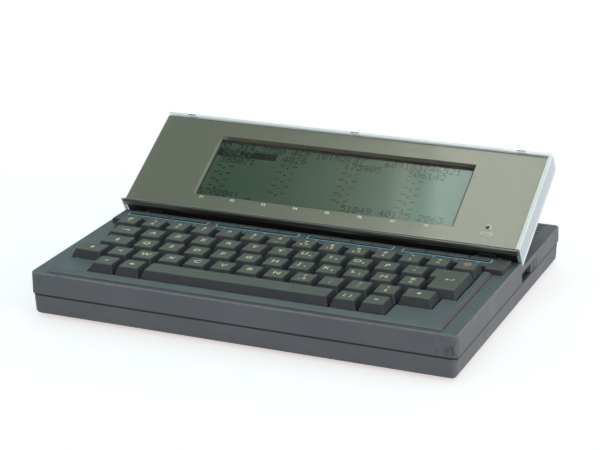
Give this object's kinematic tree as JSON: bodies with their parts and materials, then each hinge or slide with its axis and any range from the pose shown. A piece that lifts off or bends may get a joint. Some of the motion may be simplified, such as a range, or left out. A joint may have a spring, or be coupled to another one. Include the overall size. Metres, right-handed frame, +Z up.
{
  "type": "laptop",
  "caption": "Flat portable computer with a full keyboard, a row of function keys and a wide low display that tilts up on hinges behind them.",
  "frame": {"origin": "middle of the footprint, on the surface the rubber feet stand on", "axes": "+X to the user's right, +Y to the back, +Z up; the display is at its tilt in use"},
  "size_m": [0.2968, 0.2222, 0.0866],
  "materials": {
    "case_plastic": "fine texture, warm dark grey",
    "strip_plastic": "fine texture, dark grey",
    "key_plastic": "dark olive grey",
    "board": "green circuit board",
    "board_parts": "black moulded parts",
    "steel": "plated steel",
    "cells": "sleeved cells",
    "contacts": "sprung contact strip",
    "rubber": "black rubber",
    "display_black": "black",
    "panel_metal": "olive bronze metallic",
    "clear_plastic": "clear cover",
    "lcd": "liquid crystal cell",
    "lamp": "dark red lamp"
  },
  "bodies": {
    "base": {"lower_case": "case_plastic", "upper_case": "case_plastic", "function_strip": "strip_plastic", "main_board": "board", "board_parts": "board_parts", "keyboard_plate": "steel", "keyboard_board": "board", "key_switches": "board_parts", "function_switches": "board_parts", "batteries": "cells", "battery_contacts": "contacts", "option_cover": "case_plastic", "rubber_feet": "rubber", "case_screws": "steel", "backup_battery": "cells", "serial_connector": "board_parts", "wand_connector": "board_parts", "printer_connector": "board_parts", "round_sockets": "board_parts", "dc_jack": "board_parts", "hinge_brackets": "steel", "hinge_pins": "steel"},
    "display": {"display_back": "display_black", "display_panel": "panel_metal", "display_cover": "clear_plastic", "lcd_glass": "lcd", "lcd_frame": "steel", "lcd_board": "board", "battery_led": "lamp"},
    "key_tab": {"key_tab": "key_plastic"},
    "key_shift_lock": {"key_shift_lock": "key_plastic"},
    "key_shift_left": {"key_shift_left": "key_plastic"},
    "key_shift_right": {"key_shift_right": "key_plastic"},
    "key_enter": {"key_enter": "key_plastic"},
    "key_space": {"key_space": "key_plastic"},
    "keys_row_1": {"keys_row_1": "key_plastic"},
    "keys_row_2": {"keys_row_2": "key_plastic"},
    "keys_row_3": {"keys_row_3": "key_plastic"},
    "keys_row_4": {"keys_row_4": "key_plastic"},
    "keys_row_5": {"keys_row_5": "key_plastic"},
    "function_key_01": {"function_key_01": "key_plastic"},
    "function_key_02": {"function_key_02": "key_plastic"},
    "function_key_03": {"function_key_03": "key_plastic"},
    "function_key_04": {"function_key_04": "key_plastic"},
    "function_key_05": {"function_key_05": "key_plastic"},
    "function_key_06": {"function_key_06": "key_plastic"},
    "function_key_07": {"function_key_07": "key_plastic"},
    "function_key_08": {"function_key_08": "key_plastic"},
    "function_key_09": {"function_key_09": "key_plastic"},
    "function_key_10": {"function_key_10": "key_plastic"},
    "function_key_11": {"function_key_11": "key_plastic"},
    "function_key_12": {"function_key_12": "key_plastic"},
    "function_key_13": {"function_key_13": "key_plastic"},
    "function_key_14": {"function_key_14": "key_plastic"},
    "function_key_15": {"function_key_15": "key_plastic"},
    "function_key_16": {"function_key_16": "key_plastic"},
    "reset_button": {"reset_button": "key_plastic"},
    "power_switch": {"power_switch": "case_plastic"},
    "battery_door": {"battery_door": "case_plastic"},
    "contrast_dial": {"contrast_dial": "key_plastic"}
  },
  "joints": [
    {"name": "display_tilt", "type": "hinge", "parent": "base", "child": "display", "pos_m": [0, 0.02473, 0.03287], "axis": [1, 0, 0], "range_deg": [-30.3, 14.7]},
    {"name": "key_tab_press", "type": "slide", "parent": "base", "child": "key_tab", "axis": [0, 0, -1], "range_m": [0, 0.003], "stiffness_N_per_m": 200, "springref_m": -0.002},
    {"name": "key_shift_lock_press", "type": "slide", "parent": "base", "child": "key_shift_lock", "axis": [0, 0, -1], "range_m": [0, 0.003], "stiffness_N_per_m": 200, "springref_m": -0.002},
    {"name": "key_shift_left_press", "type": "slide", "parent": "base", "child": "key_shift_left", "axis": [0, 0, -1], "range_m": [0, 0.003], "stiffness_N_per_m": 200, "springref_m": -0.002},
    {"name": "key_shift_right_press", "type": "slide", "parent": "base", "child": "key_shift_right", "axis": [0, 0, -1], "range_m": [0, 0.003], "stiffness_N_per_m": 200, "springref_m": -0.002},
    {"name": "key_enter_press", "type": "slide", "parent": "base", "child": "key_enter", "axis": [0, 0, -1], "range_m": [0, 0.003], "stiffness_N_per_m": 200, "springref_m": -0.002},
    {"name": "key_space_press", "type": "slide", "parent": "base", "child": "key_space", "axis": [0, 0, -1], "range_m": [0, 0.003], "stiffness_N_per_m": 200, "springref_m": -0.002},
    {"name": "keys_row_1_press", "type": "slide", "parent": "base", "child": "keys_row_1", "axis": [0, 0, -1], "range_m": [0, 0.003], "stiffness_N_per_m": 800, "springref_m": -0.002},
    {"name": "keys_row_2_press", "type": "slide", "parent": "base", "child": "keys_row_2", "axis": [0, 0, -1], "range_m": [0, 0.003], "stiffness_N_per_m": 2200, "springref_m": -0.002},
    {"name": "keys_row_3_press", "type": "slide", "parent": "base", "child": "keys_row_3", "axis": [0, 0, -1], "range_m": [0, 0.003], "stiffness_N_per_m": 2200, "springref_m": -0.002},
    {"name": "keys_row_4_press", "type": "slide", "parent": "base", "child": "keys_row_4", "axis": [0, 0, -1], "range_m": [0, 0.003], "stiffness_N_per_m": 2200, "springref_m": -0.002},
    {"name": "keys_row_5_press", "type": "slide", "parent": "base", "child": "keys_row_5", "axis": [0, 0, -1], "range_m": [0, 0.003], "stiffness_N_per_m": 2800, "springref_m": -0.002},
    {"name": "function_key_01_press", "type": "slide", "parent": "base", "child": "function_key_01", "axis": [0, 0, -1], "range_m": [0, 0.0015], "stiffness_N_per_m": 150, "springref_m": -0.001},
    {"name": "function_key_02_press", "type": "slide", "parent": "base", "child": "function_key_02", "axis": [0, 0, -1], "range_m": [0, 0.0015], "stiffness_N_per_m": 150, "springref_m": -0.001},
    {"name": "function_key_03_press", "type": "slide", "parent": "base", "child": "function_key_03", "axis": [0, 0, -1], "range_m": [0, 0.0015], "stiffness_N_per_m": 150, "springref_m": -0.001},
    {"name": "function_key_04_press", "type": "slide", "parent": "base", "child": "function_key_04", "axis": [0, 0, -1], "range_m": [0, 0.0015], "stiffness_N_per_m": 150, "springref_m": -0.001},
    {"name": "function_key_05_press", "type": "slide", "parent": "base", "child": "function_key_05", "axis": [0, 0, -1], "range_m": [0, 0.0015], "stiffness_N_per_m": 150, "springref_m": -0.001},
    {"name": "function_key_06_press", "type": "slide", "parent": "base", "child": "function_key_06", "axis": [0, 0, -1], "range_m": [0, 0.0015], "stiffness_N_per_m": 150, "springref_m": -0.001},
    {"name": "function_key_07_press", "type": "slide", "parent": "base", "child": "function_key_07", "axis": [0, 0, -1], "range_m": [0, 0.0015], "stiffness_N_per_m": 150, "springref_m": -0.001},
    {"name": "function_key_08_press", "type": "slide", "parent": "base", "child": "function_key_08", "axis": [0, 0, -1], "range_m": [0, 0.0015], "stiffness_N_per_m": 150, "springref_m": -0.001},
    {"name": "function_key_09_press", "type": "slide", "parent": "base", "child": "function_key_09", "axis": [0, 0, -1], "range_m": [0, 0.0015], "stiffness_N_per_m": 150, "springref_m": -0.001},
    {"name": "function_key_10_press", "type": "slide", "parent": "base", "child": "function_key_10", "axis": [0, 0, -1], "range_m": [0, 0.0015], "stiffness_N_per_m": 150, "springref_m": -0.001},
    {"name": "function_key_11_press", "type": "slide", "parent": "base", "child": "function_key_11", "axis": [0, 0, -1], "range_m": [0, 0.0015], "stiffness_N_per_m": 150, "springref_m": -0.001},
    {"name": "function_key_12_press", "type": "slide", "parent": "base", "child": "function_key_12", "axis": [0, 0, -1], "range_m": [0, 0.0015], "stiffness_N_per_m": 150, "springref_m": -0.001},
    {"name": "function_key_13_press", "type": "slide", "parent": "base", "child": "function_key_13", "axis": [0, 0, -1], "range_m": [0, 0.0015], "stiffness_N_per_m": 150, "springref_m": -0.001},
    {"name": "function_key_14_press", "type": "slide", "parent": "base", "child": "function_key_14", "axis": [0, 0, -1], "range_m": [0, 0.0015], "stiffness_N_per_m": 150, "springref_m": -0.001},
    {"name": "function_key_15_press", "type": "slide", "parent": "base", "child": "function_key_15", "axis": [0, 0, -1], "range_m": [0, 0.0015], "stiffness_N_per_m": 150, "springref_m": -0.001},
    {"name": "function_key_16_press", "type": "slide", "parent": "base", "child": "function_key_16", "axis": [0, 0, -1], "range_m": [0, 0.0015], "stiffness_N_per_m": 150, "springref_m": -0.001},
    {"name": "reset_button_press", "type": "slide", "parent": "base", "child": "reset_button", "axis": [0, -1, 0], "range_m": [0, 0.001], "stiffness_N_per_m": 200, "springref_m": -0.0005},
    {"name": "power_switch_slide", "type": "slide", "parent": "base", "child": "power_switch", "axis": [0, -1, 0], "range_m": [0, 0.007]},
    {"name": "battery_door_slide", "type": "slide", "parent": "base", "child": "battery_door", "axis": [-1, 0, 0], "range_m": [0, 0.008]},
    {"name": "contrast_dial_turn", "type": "hinge", "parent": "base", "child": "contrast_dial", "pos_m": [-0.13925, 0.02, 0.0134], "axis": [0, 0, 1], "range_deg": [-135, 135]}
  ]
}
